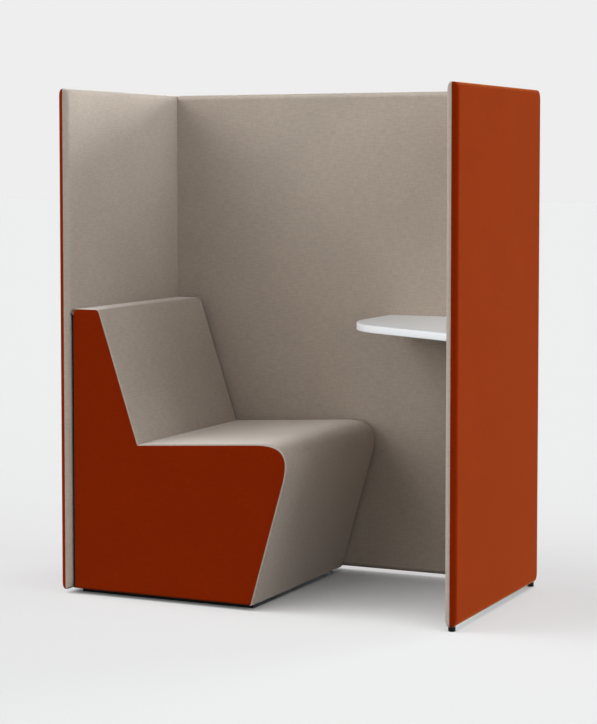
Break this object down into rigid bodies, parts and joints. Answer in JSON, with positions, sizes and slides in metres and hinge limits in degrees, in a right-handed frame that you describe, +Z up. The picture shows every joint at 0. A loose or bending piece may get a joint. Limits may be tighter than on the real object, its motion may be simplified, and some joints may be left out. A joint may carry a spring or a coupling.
{
  "type": "acoustic office pod",
  "caption": "Open office pod of upholstered screens in a U, with a lounge seat on one side, a white shelf table on the other and levelling feet.",
  "frame": {"origin": "on the floor, under the middle of the pod's outline", "axes": "+X along the rear screen from the seat to the table, +Y from the open front to the rear screen, +Z up"},
  "size_m": [1.172, 0.664, 1.4],
  "materials": {
    "taupe_fabric": "fine woven wool blend, taupe",
    "rust_fabric": "fine woven wool blend, rust orange",
    "board": "raw board",
    "dark_board": "board stained dark, so that gaps stay dark",
    "black_laminate": "black laminate",
    "black_plastic": "moulded, satin",
    "white_laminate": "white melamine, fine grain",
    "bracket_steel": "white powder coat",
    "zinc_steel": "zinc plated"
  },
  "bodies": {
    "pod": {"front_foot_socket": "zinc_steel", "left_corner_bolt_lower": "zinc_steel", "left_corner_bolt_upper": "zinc_steel", "left_corner_insert_lower": "zinc_steel", "left_corner_insert_upper": "zinc_steel", "left_screen_core": "board", "left_screen_inner_pad": "taupe_fabric", "left_screen_outer_pad": "rust_fabric", "plinth": "black_laminate", "rear_bracket_table_screw_1": "zinc_steel", "rear_bracket_table_screw_2": "zinc_steel", "rear_bracket_wall_screw_1": "zinc_steel", "rear_bracket_wall_screw_2": "zinc_steel", "rear_foot_socket": "zinc_steel", "rear_screen_core": "board", "rear_screen_inner_pad": "taupe_fabric", "rear_screen_outer_pad": "rust_fabric", "right_bracket_table_screw_1": "zinc_steel", "right_bracket_table_screw_2": "zinc_steel", "right_bracket_wall_screw_1": "zinc_steel", "right_bracket_wall_screw_2": "zinc_steel", "right_corner_bolt_lower": "zinc_steel", "right_corner_bolt_upper": "zinc_steel", "right_corner_insert_lower": "zinc_steel", "right_corner_insert_upper": "zinc_steel", "right_screen_core": "board", "right_screen_inner_pad": "taupe_fabric", "right_screen_outer_pad": "rust_fabric", "seat_back_board": "dark_board", "seat_back_pad": "taupe_fabric", "seat_base_board": "dark_board", "seat_deck": "dark_board", "seat_far_side_board": "dark_board", "seat_far_side_pad": "rust_fabric", "seat_front_board": "dark_board", "seat_near_side_board": "dark_board", "seat_near_side_pad": "rust_fabric", "seat_pad": "taupe_fabric", "seat_rear_board": "dark_board", "seat_screw_far_high": "zinc_steel", "seat_screw_far_low": "zinc_steel", "seat_screw_near_high": "zinc_steel", "seat_screw_near_low": "zinc_steel", "seat_top_rail": "dark_board", "table_rear_bracket": "bracket_steel", "table_right_bracket": "bracket_steel", "table_top": "white_laminate"},
    "front_foot": {"front_foot_pad": "black_plastic"},
    "front_foot_screw": {"front_foot_stem": "zinc_steel"},
    "rear_foot": {"rear_foot_pad": "black_plastic"},
    "rear_foot_screw": {"rear_foot_stem": "zinc_steel"}
  },
  "joints": [
    {"name": "front_foot_level", "type": "slide", "parent": "pod", "child": "front_foot", "axis": [0, 0, 1], "range_m": [-0.01, 0]},
    {"name": "front_foot_turn", "type": "hinge", "parent": "front_foot", "child": "front_foot_screw", "pos_m": [0.57, -0.312, 0], "axis": [0, 0, 1], "range_deg": [-2880, 0]},
    {"name": "rear_foot_level", "type": "slide", "parent": "pod", "child": "rear_foot", "axis": [0, 0, 1], "range_m": [-0.01, 0]},
    {"name": "rear_foot_turn", "type": "hinge", "parent": "rear_foot", "child": "rear_foot_screw", "pos_m": [0.57, 0.312, 0], "axis": [0, 0, 1], "range_deg": [-2880, 0]}
  ],
  "couplings": [
    {"joint": "front_foot_turn", "follows": "front_foot_level", "rad_per_m": 5026.5},
    {"joint": "rear_foot_turn", "follows": "rear_foot_level", "rad_per_m": 5026.5}
  ]
}
